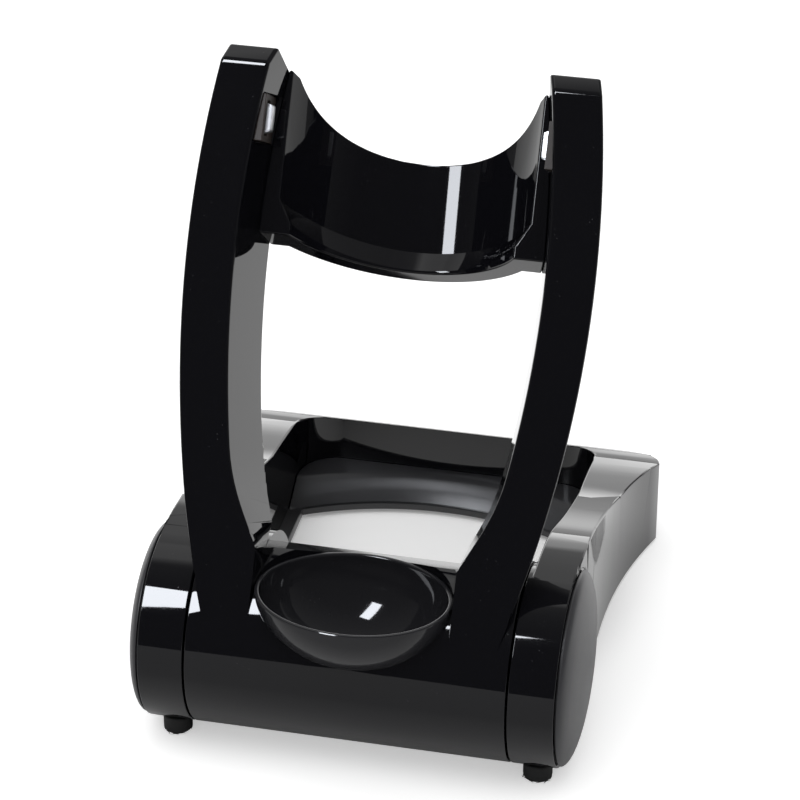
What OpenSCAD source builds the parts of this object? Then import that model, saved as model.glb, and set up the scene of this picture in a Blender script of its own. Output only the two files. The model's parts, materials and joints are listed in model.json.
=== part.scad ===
// Folding charging stand for a shaver.
// X runs to the right, Y to the back and Z up.
// The origin lies on the table, under the middle of the whole stand.

/* [Barrel] */
// Radius of the round barrel across the front
barrel_r = 21; // [20:0.25:22]
// Width of the barrel between the creases at its ends
barrel_w = 87.4; // [86:0.2:90]
// Width of the middle length, which turns with the arms
turning_w = 67.4; // [66:0.2:68]
// Running gap round the turning length
running_gap = 0.4; // [0.3:0.05:0.5]
// Height of the barrel's lowest line above the table
barrel_lift = 0.8; // [0.6:0.1:1.2]
// Rise of the domed cap on each end
cap_dome = 4.1; // [3.6:0.1:4.6]

/* [Arms] */
// Lean of the arms behind upright when the stand is open
lean = 31.2; // [28:0.2:34]
// Distance of the arms' flat front ahead of the hinge axis
front_off = 20.8; // [20:0.1:20.9]
// Length of the front face above the hinge axis
arm_len = 117; // [113:1:121]
// Depth of an arm from front to back
arm_depth = 17.5; // [16:0.5:18.5]
// Greatest width across both arms
arms_w = 85.4; // [84:0.2:88]
// Width of one arm, seen from the front
arm_w = 10.4; // [10:0.2:12]
// Radius of the arms' sideways bow
bow_r = 250; // [220:10:300]
// Height of the widest place of the bow
bow_mid = 79; // [74:1:82]
// Angle by which both sides of an arm draw inwards to the back
arm_draw = 11; // [8:0.5:12]
// Rise of the arm's top behind its front edge
top_rise = 3.7; // [3:0.1:4.5]
// Thickness of the cover let into the back of an arm
cover_t = 2; // [1.6:0.1:2.4]

/* [Cradle band] */
// Inner radius of the band that holds the shaver's grip
band_r = 29; // [28.5:0.1:29.5]
// Wall of the band
band_wall = 2; // [1.6:0.1:2.4]
// Radius of the dip in the band's upper edge
band_dip_r = 52; // [50:1:54]
// Height of the inward lip along the lower edge
lip_h = 5; // [4:0.5:6]
// How far the lip stands in
lip_in = 2.6; // [2:0.2:3]

/* [Cup] */
// Width of the cup's rim
cup_w = 41.2; // [40:0.2:42]
// Depth of the cup's rim from front to back
cup_d = 30; // [29:0.5:31]
// Reach of the cup's rim ahead of the hinge axis
cup_reach = 25.3; // [25:0.1:26]
// Height of the rim above the hinge axis
cup_rise = 19.2; // [18.5:0.1:19.5]
// Height of the bowl's outside
cup_h = 16; // [15:0.5:17]
// Wall of the cup
cup_wall = 1; // [0.8:0.1:1.4]

/* [Base] */
// Reach of the base behind the hinge axis
base_reach = 93; // [91:0.5:96]
// Width of the base across its rear corners
rear_w = 100; // [99:0.5:103]
// Radius of the rear corners
corner_r = 11; // [9:0.5:12]
// Height of the rear rim
rear_h = 17; // [16:0.5:19]
// Wall of the base
base_wall = 2.2; // [2:0.1:2.4]
// Width of the opening between the rails
opening_w = 70; // [69:0.2:71]
// Radius of the opening's rear corners
opening_r = 9; // [8:0.5:10]
// Thickness of the pan that closes the base below
pan_t = 2.2; // [2:0.1:2.6]
// Height of the pan above the table
pan_lift = 1; // [0.8:0.1:1.2]
// Height of the dished ledge's flat above the pan
ledge_h = 4.3; // [3.5:0.1:5]
// Radius of the ledge's curved front edge
ledge_r = 67; // [65:1:70]

/* [Fittings] */
// Radius of the hinge pins
pin_r = 6; // [5.5:0.1:6.5]
// Radius of the bore for the leads through each hinge pin
lead_bore_r = 2.5; // [2:0.1:3]
// Travel of each spring contact
contact_travel = 1.2; // [1:0.1:1.4]
// Width of the bright tab of a contact
tab_w = 2.6; // [2.4:0.1:2.8]
// Height of the bright tab of a contact
tab_h = 7; // [6.5:0.1:7.5]
// Radius of the rubber feet under the barrel
front_foot_r = 3.1; // [2.8:0.1:3.3]
// Radius of the rubber feet under the rear corners
rear_foot_r = 2.6; // [2.4:0.1:3]
// Radius of the screws' shanks
screw_r = 1.2; // [1:0.1:1.3]
// Depth of the charging inlet's hole
inlet_hole_len = 9; // [8:0.1:9]

/* [Hidden] */
$fn = 96;
big_fn = 360;
eps = 0.01;
// clearance of a fitted piece, all round
fit = 0.1;
// clearance of a screw in its hole
screw_fit = 0.05;
// a length that passes right through the stand
far = 60;

axis_y = (cup_reach - base_reach) / 2;
axis_z = barrel_lift + barrel_r;
barrel_half = barrel_w / 2;
yoke_half = turning_w / 2;
knuckle_in = yoke_half + running_gap;

// a point of a cubic curve with four control points
function bez(p, t) = pow(1 - t, 3) * p[0] + 3 * t * pow(1 - t, 2) * p[1]
    + 3 * t * t * (1 - t) * p[2] + pow(t, 3) * p[3];
function steps(n) = [for (i = [0:n]) i / n];
function rev(v) = [for (i = [len(v) - 1:-1:0]) v[i]];
function mirrored(v) = [for (p = v) [-p[0], p[1]]];

// carries the base's own places, counted back from the hinge axis and up from the table
module behind_axis() translate([0, axis_y, 0]) children();
// carries the yoke's own places, counted from the hinge axis with the arms upright
module yoke_frame() translate([0, axis_y, axis_z]) rotate([-lean, 0, 0]) children();
// carries level places, counted from the hinge axis
module level_frame() translate([0, axis_y, axis_z]) children();
// an outline of Y and Z, drawn out along X
module along_x(x0, x1) translate([x0, 0, 0]) rotate([90, 0, 90]) linear_extrude(x1 - x0) children();
// an outline of X and Z, drawn out along Y
module along_y(y0, y1) translate([0, y1, 0]) rotate([90, 0, 0]) linear_extrude(y1 - y0) children();
module x_rod(r, x0, x1) translate([x0, 0, 0]) rotate([0, 90, 0]) cylinder(r = r, h = x1 - x0);
module both_sides() {
    children();
    mirror([1, 0, 0]) children();
}

// side line of the base, from beside the barrel to the rear corner, as X and Y
rear_half = rear_w / 2;
side_swell = 2;
side_waist = 5.2;
side_y = [0, 30, 50, base_reach - corner_r];
side_x = [barrel_half, barrel_half + side_swell, barrel_half - side_waist, rear_half];
function side_line(inset) = [for (t = steps(24)) [bez(side_x, t) - inset, bez(side_y, t)]];
function corner(cx, cy, r) = [for (t = steps(8)) [cx + r * cos(90 * t), cy + r * sin(90 * t)]];
function base_half(inset) = concat(side_line(inset),
    corner(rear_half - corner_r, base_reach - corner_r, corner_r - inset));
module base_plan(inset) polygon(concat(base_half(inset), rev(mirrored(base_half(inset)))));

// top line of the rails, as Y and Z
barrel_top = 2 * barrel_r + barrel_lift;
shoulder_drop = 5.1;
sweep_end = 60;
sweep_z = 25.9;
sweep_fall = 1.9;
top_y1 = [0, 26.4, 22.5, sweep_end];
top_z1 = [barrel_top, barrel_top, barrel_top - shoulder_drop, sweep_z];
top_y2 = [sweep_end, 72, 84, base_reach];
top_z2 = [sweep_z, sweep_z - sweep_fall, sweep_z - 2 * sweep_fall, rear_h];
function top_line(drop) = concat(
    [for (t = steps(20)) [bez(top_y1, t), bez(top_z1, t) - drop]],
    [for (t = steps(8)) if (t > 0) [bez(top_y2, t), bez(top_z2, t) - drop]]);
module side_profile(drop) polygon(concat([[0, -1]], top_line(drop), [[base_reach + 1, rear_h - drop]],
    [[base_reach + 1, -1]]));

// opening between the rails, from inside the barrel to the rear rim
opening_half = opening_w / 2;
opening_back = base_reach - base_wall - 0.3;
module opening_plan(grow) {
    half = opening_half + grow;
    back = opening_back + grow;
    r = opening_r + grow;
    polygon(concat([[half, 0]], corner(half - r, back - r, r), rev(mirrored(corner(half - r, back - r, r))),
        [[-half, 0]]));
}

// half width of the base at a place behind the hinge axis
function side_at(y) = lookup(y, [for (p = side_line(0)) [p[1], p[0]]]);

// rear corner of a rail, where a screw's boss stands over a foot
rear_post_x = (opening_half + rear_half) / 2;
rear_post_y = base_reach - corner_r;
boss_r = screw_r + 1.6;
module at_rear_posts() both_sides() translate([rear_post_x, rear_post_y, 0]) children();

// charging inlet, an obround body let into the left rail
inlet_y = 74;
inlet_z = 11;
inlet_r = 3.6;
inlet_span = 3.6;
inlet_face = side_at(inlet_y) + 0.4;
inlet_back = opening_half + base_wall + 4 * fit;
inlet_hole_r = inlet_r - 1;
// an obround bar along X, wide along Y
module obround(r, x0, x1) translate([0, inlet_y, inlet_z]) {
    for (s = [-1, 1]) translate([0, s * inlet_span / 2, 0]) x_rod(r, x0, x1);
    translate([x0, -inlet_span / 2, -r]) cube([x1 - x0, inlet_span, 2 * r]);
}

// round pocket behind each end cap, and the web that carries the hinge pin
pocket_r = barrel_r - 2.5;
web_t = 3.9;
// front of the hollow in the rails, and of the pan below it
hollow_start = 5;
hollow_front = barrel_r + hollow_start;
front_foot_x = (knuckle_in + barrel_half) / 2;
front_foot_y = -9;
front_foot_h = 4;
rear_foot_sink = 0.7;
rear_foot_h = pan_lift + rear_foot_sink;

module at_axis() translate([0, 0, axis_z]) children();
module at_front_foot() translate([front_foot_x, front_foot_y, 0]) children();
module base_shell() color([0.05, 0.05, 0.06]) {
    behind_axis() difference() {
        union() {
            at_axis() both_sides() x_rod(barrel_r, knuckle_in, barrel_half);
            difference() {
                intersection() {
                    translate([0, 0, pan_lift]) linear_extrude(far) base_plan(0);
                    along_x(-far, far) side_profile(0);
                }
                translate([0, 0, -1]) linear_extrude(far + 2) opening_plan(0);
            }
        }
        // room for the turning length, inside the knuckles
        at_axis() x_rod(barrel_r + running_gap, -knuckle_in, knuckle_in);
        // hollow of the rails
        difference() {
            intersection() {
                translate([0, 0, -1]) linear_extrude(far) base_plan(base_wall);
                along_x(-far, far) side_profile(base_wall);
                translate([-far, hollow_front, -1]) cube([2 * far, base_reach, far]);
            }
            translate([0, 0, pan_lift + pan_t]) linear_extrude(far) opening_plan(base_wall);
            at_rear_posts() translate([0, 0, pan_lift + pan_t]) cylinder(r = boss_r, h = far);
        }
        // pockets behind the end caps, bores of the hinge pins and seats of the front feet
        both_sides() {
            at_axis() x_rod(pocket_r, knuckle_in + web_t, barrel_half + 1);
            at_axis() x_rod(cap_r + cap_gap, barrel_half, far);
            at_axis() x_rod(pin_r, knuckle_in - 1, knuckle_in + web_t + 1);
            at_front_foot() cylinder(r = front_foot_r + fit, h = front_foot_h);
        }
        at_rear_posts() cylinder(r = screw_r + screw_fit, h = screw_top + 1);
        both_sides() pan_tongue(fit);
        obround(inlet_r + fit, -far, -(opening_half + base_wall));
    }
}

module base_pan() color([0.06, 0.06, 0.07]) behind_axis() {
    difference() {
        union() {
            translate([0, 0, pan_lift]) linear_extrude(pan_t) difference() {
                base_plan(base_wall + fit);
                translate([-far, -far]) square([2 * far, far + hollow_front + 2 * fit]);
            }
            ledge();
        }
        // round-fronted opening between the bridge and the ledge
        translate([0, 0, -1]) linear_extrude(far) intersection() {
            translate([0, ledge_centre]) circle(ledge_r, $fn = big_fn);
            translate([pan_edge - opening_half, bridge_back]) square([opening_w - 2 * pan_edge, base_reach]);
        }
        at_rear_posts() {
            cylinder(r = screw_r + fit, h = screw_top);
            cylinder(r = screw_head_r + fit, h = rear_foot_h + screw_head_h);
            cylinder(r = rear_foot_r + fit, h = rear_foot_h);
        }
    }
    both_sides() pan_tongue(0);
}
// tongue at the front of the pan, one in each rail, which slips into a slot of the shell
tongue_len = 3;
tongue_w = 3;
tongue_t = 1.1;
module pan_tongue(grow) translate([opening_half + base_wall + 3 * fit - grow,
    hollow_front - tongue_len - grow, pan_lift + pan_t - tongue_t - grow])
    cube([tongue_w + 2 * grow, tongue_len + 3 * fit + 2 * grow, tongue_t + 2 * grow]);
// back of the bridge that joins the rails, centre of the ledge's arc and depth of its dished slope
bridge_back = 40;
ledge_centre = 15;
ledge_slope = 7;
// width of the pan's edge beside the opening
pan_edge = 3;
module ledge() intersection() {
    translate([0, 0, pan_lift]) linear_extrude(far) opening_plan(-fit);
    translate([-far, bridge_back, 0]) cube([2 * far, base_reach, far]);
    difference() {
        translate([-far, 0, pan_lift]) cube([2 * far, base_reach + 1, pan_t + ledge_h]);
        translate([0, ledge_centre, pan_lift + pan_t - eps])
            cylinder(r1 = ledge_r, r2 = ledge_r + ledge_slope, h = ledge_h + 2 * eps, $fn = big_fn);
    }
}

// screws through the pan into the bosses, with their heads above the feet
screw_head_r = screw_r + 1;
screw_head_h = 1;
screw_top = 11;
module base_screws() color([0.5, 0.5, 0.52]) behind_axis() at_rear_posts()
    translate([0, 0, rear_foot_h]) {
        cylinder(r = screw_head_r, h = screw_head_h);
        cylinder(r = screw_r, h = screw_top - rear_foot_h);
    }

module front_feet() color([0.14, 0.14, 0.14]) behind_axis() both_sides() at_front_foot()
    cylinder(r = front_foot_r, h = front_foot_h);

module rear_feet() color([0.14, 0.14, 0.14]) behind_axis() at_rear_posts()
    cylinder(r = rear_foot_r, h = rear_foot_h);

// domed cap with a spigot that fits the pocket in the barrel's end
cap_step = 0.4;
cap_r = barrel_r - cap_step;
// room round a cap, where the side of the rail stands out past it
cap_gap = 0.25;
cap_neck = 0.4;
cap_roundness = 2.4;
spigot_len = barrel_half - knuckle_in - web_t - 4 * fit;
spigot_wall = 2.1;
cap_edge = 0.8;
function dome_x(r) = cap_neck + (cap_dome - cap_neck) * sqrt(max(0, 1 - pow(r / cap_r, cap_roundness)));
dome_line = [for (t = steps(14)) let (r = cap_r * sin(90 * t)) [r, dome_x(r)]];
module end_cap() translate([barrel_half, 0, 0]) rotate([0, 90, 0]) {
    rotate_extrude() polygon(concat(dome_line, [[cap_r, cap_neck], [cap_r - cap_edge, cap_neck],
        [cap_r - cap_edge, 0], [pocket_r - fit, 0], [pocket_r - fit, -spigot_len],
        [pocket_r - fit - spigot_wall, -spigot_len], [pocket_r - fit - spigot_wall, 0], [0, 0]]));
}
module left_end_cap() color([0.2, 0.2, 0.21]) level_frame() mirror([1, 0, 0]) end_cap();
module right_end_cap() color([0.2, 0.2, 0.21]) level_frame() end_cap();

// hinge pin: pressed into the knuckle's web, with a head in the pocket
pin_head_r = pin_r + 3;
pin_head_t = 1.6;
pin_reach = 11;
pin_gap = 0.05;
module hinge_pin() difference() {
    union() {
        x_rod(pin_r, knuckle_in - pin_reach, knuckle_in + web_t);
        x_rod(pin_head_r, knuckle_in + web_t, knuckle_in + web_t + pin_head_t);
    }
    x_rod(lead_bore_r, 0, barrel_half);
}
module left_hinge_pin() color([0.6, 0.6, 0.62]) level_frame() mirror([1, 0, 0]) hinge_pin();
module right_hinge_pin() color([0.6, 0.6, 0.62]) level_frame() hinge_pin();

bush_r = pin_r + 2;
bush_len = 9;
washer_t = 1.2;
washer_r = 12;
// room past the end of a hinge pin
pin_room = 2;
module hinge_bushes() color([0.75, 0.73, 0.68]) level_frame() both_sides() difference() {
    x_rod(bush_r, yoke_half - washer_t - bush_len, yoke_half - washer_t);
    x_rod(pin_r + pin_gap, 0, yoke_half);
}
module friction_washers() color([0.62, 0.6, 0.55]) level_frame() both_sides() difference() {
    x_rod(washer_r, yoke_half - washer_t, knuckle_in - 0.1);
    x_rod(pin_r + pin_gap, 0, barrel_half);
}

// charging inlet let into the left rail, open to the left
module inlet_socket() color([0.07, 0.07, 0.08]) behind_axis() difference() {
    obround(inlet_r, -inlet_face, -inlet_back);
    obround(inlet_hole_r, -inlet_face - 1, -inlet_face + inlet_hole_len);
    for (s = [-1, 1]) translate([0, inlet_y + s * inlet_pin_dy, inlet_z])
        x_rod(inlet_pin_r, -inlet_face, -inlet_back + 1);
}
inlet_pin_r = 0.75;
inlet_pin_dy = 2.1;
inlet_pin_out = 4.3;
module inlet_pins() color([0.8, 0.78, 0.7]) behind_axis()
    for (s = [-1, 1]) translate([0, inlet_y + s * inlet_pin_dy, inlet_z])
        x_rod(inlet_pin_r, -inlet_face + inlet_hole_len - inlet_pin_out, -inlet_back);

// one arm, seen from the front, as X and Z above the hinge axis;
// it flares inwards at its foot, which meets the flat land on top of the barrel
arms_half = arms_w / 2;
inner_half = arms_half - arm_w;
function bow(half, z) = half - bow_r + sqrt(bow_r * bow_r - pow(z - bow_mid, 2));
foot_top = 18;
foot_half = 21;
flare_z = 38;
flare_x = bow(inner_half, flare_z);
flare_in = 1.5;
flare_fall = 9;
toe_out = 2.2;
toe_rise = 5;
function flare(t) = [bez([flare_x, flare_x - flare_in, foot_half + toe_out, foot_half], t),
    bez([flare_z, flare_z - flare_fall, foot_top + toe_rise, foot_top], t)];
peak_z = arm_len + top_rise;
function arm_outer(inset) = [for (t = steps(32)) [bow(arms_half, peak_z * t) - inset, peak_z * t]];
function arm_inner(inset) = [for (t = steps(22)) let (z = flare_z + (peak_z - flare_z) * t)
    [bow(inner_half, z) + inset, z]];
module arm_front() polygon(concat(arm_outer(0), rev(arm_inner(0)),
    [for (t = steps(10)) if (t > 0) flare(t)], [[foot_half, 0]]));

// one arm, seen from its side, as Y and Z
back_y = arm_depth - front_off;
peak_back = 2.6;
top_slope = 0.48;
waist_r = 34;
waist_z = 40;
function waist(t) = [back_y - waist_r * (1 - cos(50 * t)), waist_z - waist_r * sin(50 * t)];
module arm_side() polygon(concat(
    [[-front_off, 0], [-front_off, arm_len], [peak_back - front_off, peak_z],
        [back_y, peak_z - top_slope * (arm_depth - peak_back)]],
    [for (t = steps(12)) waist(t)], [[-front_off + 3, 0]]));

// draws a shape inwards with its depth, as both sides of an arm are drawn
draw_slope = tan(arm_draw);
module drawn_in() multmatrix([[1, -draw_slope, 0, -draw_slope * front_off], [0, 1, 0, 0], [0, 0, 1, 0]])
    children();

module arm() intersection() {
    drawn_in() along_y(-front_off - 1, 1) arm_front();
    along_x(0, far) arm_side();
}

// the cover let into the back of an arm
// the cover starts above the waist and ends below the arm's top
cover_rise = 6;
cover_drop = 9;
cover_low = waist_z + cover_rise;
cover_high = arm_len - cover_drop;
cover_margin = 1.8;
module cover_outline(inset) intersection() {
    polygon(concat([for (t = steps(20)) let (z = cover_low + (cover_high - cover_low) * t)
        [bow(arms_half, z) - cover_margin - inset, z]],
        rev([for (t = steps(20)) let (z = cover_low + (cover_high - cover_low) * t)
        [bow(inner_half, z) + cover_margin + inset, z]])));
    translate([0, cover_low + inset]) square([far, cover_high - cover_low - 2 * inset]);
}
module arm_cover() difference() {
    drawn_in() along_y(back_y - cover_t, back_y) cover_outline(fit);
    at_cover_screws() cover_screw_room();
}
module left_arm_cover() color([0.07, 0.07, 0.08]) yoke_frame() mirror([1, 0, 0]) arm_cover();
module right_arm_cover() color([0.07, 0.07, 0.08]) yoke_frame() arm_cover();

// pocket for a contact, in the inner face of an arm, as its size and its corner
pocket_size = [7.7, 9, 10];
pocket_back = 1.2;
pocket_drop = 16;
pocket_low = arm_len - pocket_drop;
pocket_at = [bow(inner_half, pocket_low) - draw_slope * (pocket_back + pocket_size[1]) + fit,
    pocket_back - front_off, pocket_low];

// screws through the covers, the upper one below the pocket
cover_screw_in = 6;
cover_screw_drop = 4;
cover_screw_z = [cover_low + cover_screw_in, pocket_low - cover_screw_drop];
cover_screw_len = 7;
cover_screw_head_h = 1.2;
cover_screw_sink = 0.2;
module at_cover_screws() for (z = cover_screw_z)
    translate([bow((arms_half + inner_half) / 2, z) - draw_slope * arm_depth, back_y, z])
        rotate([90, 0, 0]) children();
module cover_screw_room() translate([0, 0, -eps]) {
    cylinder(r = screw_r + screw_fit, h = cover_screw_len + fit);
    cylinder(r = screw_head_r + fit, h = cover_screw_head_h + eps);
}
module cover_screws() color([0.45, 0.45, 0.47]) yoke_frame() both_sides() at_cover_screws()
    translate([0, 0, cover_screw_sink]) {
        cylinder(r = screw_head_r, h = cover_screw_head_h - cover_screw_sink);
        cylinder(r = screw_r, h = cover_screw_len - cover_screw_sink);
    }

// cup: an oval bowl with a level rim when the stand is open
cup_mid = cup_d / 2 - cup_reach;
module at_cup() level_frame() translate([0, cup_mid, cup_rise]) children();
module bowl(inset) scale([cup_w / 2 - inset, cup_d / 2 - inset, cup_h - inset]) sphere(1, $fn = 128);
module above_rim() linear_extrude(far) scale([cup_w / 2, cup_d / 2]) circle(1, $fn = 128);
module cup() color([0.09, 0.09, 0.1]) at_cup() difference() {
    bowl(0);
    bowl(cup_wall);
    translate([-far, -far, 0]) cube(2 * far);
}

module yoke_shell() color([0.04, 0.04, 0.05]) difference() {
    yoke_frame() difference() {
        union() {
            x_rod(barrel_r, -yoke_half, yoke_half);
            both_sides() arm();
        }
        // the land between the arms, and the room over the knuckles
        barrel_land();
        both_sides() {
            x_rod(barrel_r + running_gap, yoke_half, far);
            x_rod(washer_r + fit, yoke_half - washer_t, yoke_half + 1);
            x_rod(bush_r, yoke_half - washer_t - bush_len, yoke_half);
            x_rod(pin_r + 5 * fit, yoke_half - washer_t - bush_len - pin_room, yoke_half);
            drawn_in() along_y(back_y - cover_t, back_y + 1) cover_outline(0);
            at_cover_screws() cover_screw_room();
            contact_pocket_room();
        }
    }
    at_cup() above_rim();
    at_cup() bowl(0);
}
module barrel_land() translate([-foot_half, -far, foot_top]) cube([2 * foot_half, 2 * far, barrel_r]);
module contact_pocket_room() translate(pocket_at - [pocket_back, 0, 0])
    cube(pocket_size + [pocket_back, 0, 0]);

// cradle band between the arms, round an upright line just ahead of their fronts
// front end and back of the band, and the centre of the dip in its upper edge
band_y = -front_off - 1;
band_start = 10.5;
band_front = band_start - front_off;
band_back = band_y + band_r + band_wall;
dip_in = 4;
dip_rise = 28;
dip_at = [band_dip_r + dip_in - front_off, arm_len + dip_rise];
// height of the lower edge at the back, and how it climbs to the front
band_drop = 40.5;
low_mid = arm_len - band_drop;
low_rise = 0.32;
module band_side() difference() {
    polygon([[band_front, low_mid + low_rise * (band_back - band_front)], [band_back + 1, low_mid - low_rise],
        [band_back + 1, peak_z], [band_front, peak_z]]);
    translate(dip_at) circle(band_dip_r, $fn = big_fn);
}
module band_top_cut() along_x(-far, far) translate([peak_back - front_off, peak_z])
    polygon([[0, 0], [far, -far * top_slope], [far, far], [0, far]]);
// lip round the inside, tilted a little more than the lower edge so that it starts below it
lip_tilt = 0.45;
lip_start = 3;
module band_lip() translate([0, band_y, 0]) multmatrix([[1, 0, 0, 0], [0, 1, 0, 0], [0, -lip_tilt, 1, 0]])
    translate([0, 0, low_mid + lip_tilt * (band_r + band_wall)])
    rotate_extrude($fn = band_fn) polygon([
        [band_r + band_wall / 2, -lip_start], [band_r + band_wall / 2, lip_h],
        [band_r, lip_h], [band_r - lip_in, 0], [band_r - lip_in, -lip_start]]);
// wedge-shaped roots that carry the band's ends into the arms
root_in = 18;
root_w = 16;
band_fn = 180;
module cradle_band() color([0.05, 0.05, 0.06]) yoke_frame() difference() {
    intersection() {
        union() {
            difference() {
                union() {
                    translate([0, band_y, 0]) cylinder(r = band_r + band_wall, h = peak_z, $fn = band_fn);
                    both_sides() translate([root_in, band_front, far])
                        cube([root_w, back_y - band_front, far]);
                }
                translate([0, band_y, -1]) cylinder(r = band_r, h = peak_z + 2, $fn = band_fn);
            }
            band_lip();
        }
        along_x(-far, far) band_side();
    }
    both_sides() arm();
    band_top_cut();
}

// contact: a bright tab through the holder, with a flange behind its lip
holder_lip = 1.5;
holder_wall = 1;
flange_t = 1;
flange_side = 0.9;
flange_end = 0.45;
tab_mid = pocket_at + [0, 3.2, pocket_size[2] / 2];
tab_gap = 0.15;
spring_r = 1.6;
spring_wire = 0.5;
module tab_bar(w, h, x0, x1) translate([x0, tab_mid[1] - w / 2, tab_mid[2] - h / 2]) cube([x1 - x0, w, h]);
flange_x = pocket_at[0] + holder_lip;
holder_back = pocket_at[0] + pocket_size[0] - holder_wall;
module contact_holder() difference() {
    translate(pocket_at + [0, fit, fit]) cube(pocket_size - [0, 2 * fit, 2 * fit]);
    tab_bar(tab_w + 2 * tab_gap, tab_h + 2 * tab_gap, pocket_at[0] - 1, flange_x + eps);
    tab_bar(flange_w + 2 * tab_gap, flange_h + 2 * tab_gap, flange_x, holder_back);
}
flange_w = tab_w + 2 * flange_side;
flange_h = tab_h + 2 * flange_end;
module contact() {
    tab_bar(tab_w, tab_h, pocket_at[0] - contact_travel, flange_x + eps);
    tab_bar(flange_w, flange_h, flange_x, flange_x + flange_t);
}
module contact_spring() translate([0, tab_mid[1], tab_mid[2]]) difference() {
    x_rod(spring_r, flange_x + flange_t, holder_back, $fn = 48);
    x_rod(spring_r - spring_wire, 0, far, $fn = 48);
}
module left_contact_holder() color([0.35, 0.28, 0.24]) yoke_frame() mirror([1, 0, 0]) contact_holder();
module right_contact_holder() color([0.35, 0.28, 0.24]) yoke_frame() contact_holder();
module left_contact() color([0.85, 0.86, 0.88]) yoke_frame() mirror([1, 0, 0]) contact();
module right_contact() color([0.85, 0.86, 0.88]) yoke_frame() contact();
module left_contact_spring() color([0.7, 0.7, 0.72]) yoke_frame() mirror([1, 0, 0]) contact_spring();
module right_contact_spring() color([0.7, 0.7, 0.72]) yoke_frame() contact_spring();

base_shell();
base_pan();
left_end_cap();
right_end_cap();
left_hinge_pin();
right_hinge_pin();
front_feet();
rear_feet();
base_screws();
inlet_socket();
inlet_pins();
yoke_shell();
left_arm_cover();
right_arm_cover();
cover_screws();
cradle_band();
cup();
hinge_bushes();
friction_washers();
left_contact_holder();
right_contact_holder();
left_contact();
right_contact();
left_contact_spring();
right_contact_spring();
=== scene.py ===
"""Folding charging stand for a shaver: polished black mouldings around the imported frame, on a white table.

Lengths are metres. X runs to the stand's right, Y to the back and Z up, as in the frame.
"""

import json
import math

import bmesh
import bpy
from bpy.props import FloatProperty, FloatVectorProperty, PointerProperty
from mathutils import Matrix, Vector
from mathutils.bvhtree import BVHTree


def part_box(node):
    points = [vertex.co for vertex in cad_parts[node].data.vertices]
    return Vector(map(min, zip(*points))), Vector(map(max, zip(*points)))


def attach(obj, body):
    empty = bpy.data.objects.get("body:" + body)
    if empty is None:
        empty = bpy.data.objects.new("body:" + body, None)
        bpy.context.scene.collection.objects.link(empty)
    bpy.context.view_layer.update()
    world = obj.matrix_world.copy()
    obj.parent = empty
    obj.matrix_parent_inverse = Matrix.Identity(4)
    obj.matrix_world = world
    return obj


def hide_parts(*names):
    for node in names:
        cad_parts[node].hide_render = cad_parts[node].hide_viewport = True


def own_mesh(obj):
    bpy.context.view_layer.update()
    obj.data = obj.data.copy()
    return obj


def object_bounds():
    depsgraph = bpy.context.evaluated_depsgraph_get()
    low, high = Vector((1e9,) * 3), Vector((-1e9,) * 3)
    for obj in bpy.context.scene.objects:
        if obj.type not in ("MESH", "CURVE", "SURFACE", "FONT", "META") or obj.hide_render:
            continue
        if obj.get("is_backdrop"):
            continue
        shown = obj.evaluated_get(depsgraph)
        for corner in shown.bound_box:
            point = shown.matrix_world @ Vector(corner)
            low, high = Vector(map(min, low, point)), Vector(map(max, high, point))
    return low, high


bl_info = {
    "name": "Shaver Charging Stand",
    "version": (1, 0, 0),
    "blender": (4, 5, 0),
    "location": "3D View > Sidebar > Stand",
    "description": "Builds the finishes and small parts of a folding charging stand around its frame",
    "category": "Object",
}

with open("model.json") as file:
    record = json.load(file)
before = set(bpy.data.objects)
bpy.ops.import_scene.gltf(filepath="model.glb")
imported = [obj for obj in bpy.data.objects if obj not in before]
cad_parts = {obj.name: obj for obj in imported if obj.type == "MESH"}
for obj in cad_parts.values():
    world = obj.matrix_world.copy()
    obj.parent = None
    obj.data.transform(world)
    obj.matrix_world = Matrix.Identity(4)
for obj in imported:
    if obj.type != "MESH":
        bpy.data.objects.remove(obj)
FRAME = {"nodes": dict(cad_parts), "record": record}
CAD_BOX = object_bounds()
MM = 0.001

# the fold hinge, and the lean of the arms behind upright
AXIS = Vector(FRAME["record"]["behaviour"]["joints"][0]["pos_m"])
LEAN = math.radians(31.2)
# from places counted off the hinge axis with the arms upright to the frame, and back
LEANED = Matrix.Translation(AXIS) @ Matrix.Rotation(-LEAN, 4, "X")
UPRIGHT = LEANED.inverted()
# what is farther than this off the axis is on the barrel's outer skin
BARREL_SKIN = 20.5 * MM


# Properties


def length(name, description, default):
    return FloatProperty(
        name=name, description=description, default=default, min=0.0, unit="LENGTH", subtype="DISTANCE"
    )


def colour(name, description, default):
    return FloatVectorProperty(
        name=name, description=description, default=default, size=3, min=0.0, max=1.0, subtype="COLOR"
    )


class StandSizes(bpy.types.PropertyGroup):
    """Sizes of what is added to the frame."""

    edge: length("Base edges", "Rounding of the base shell's outer edges", 0.5 * MM)
    arm_edge: length("Arm edges", "Rounding along the arms", 0.8 * MM)
    band_edge: length("Band edges", "Rounding of the cradle band", 0.35 * MM)
    fine_edge: length("Fine edges", "Rounding of thin walls and small parts", 0.2 * MM)
    ledge_swell: length("Ledge swell", "Rise of the ledge's rounded slope above a straight one", 0.75 * MM)


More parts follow.
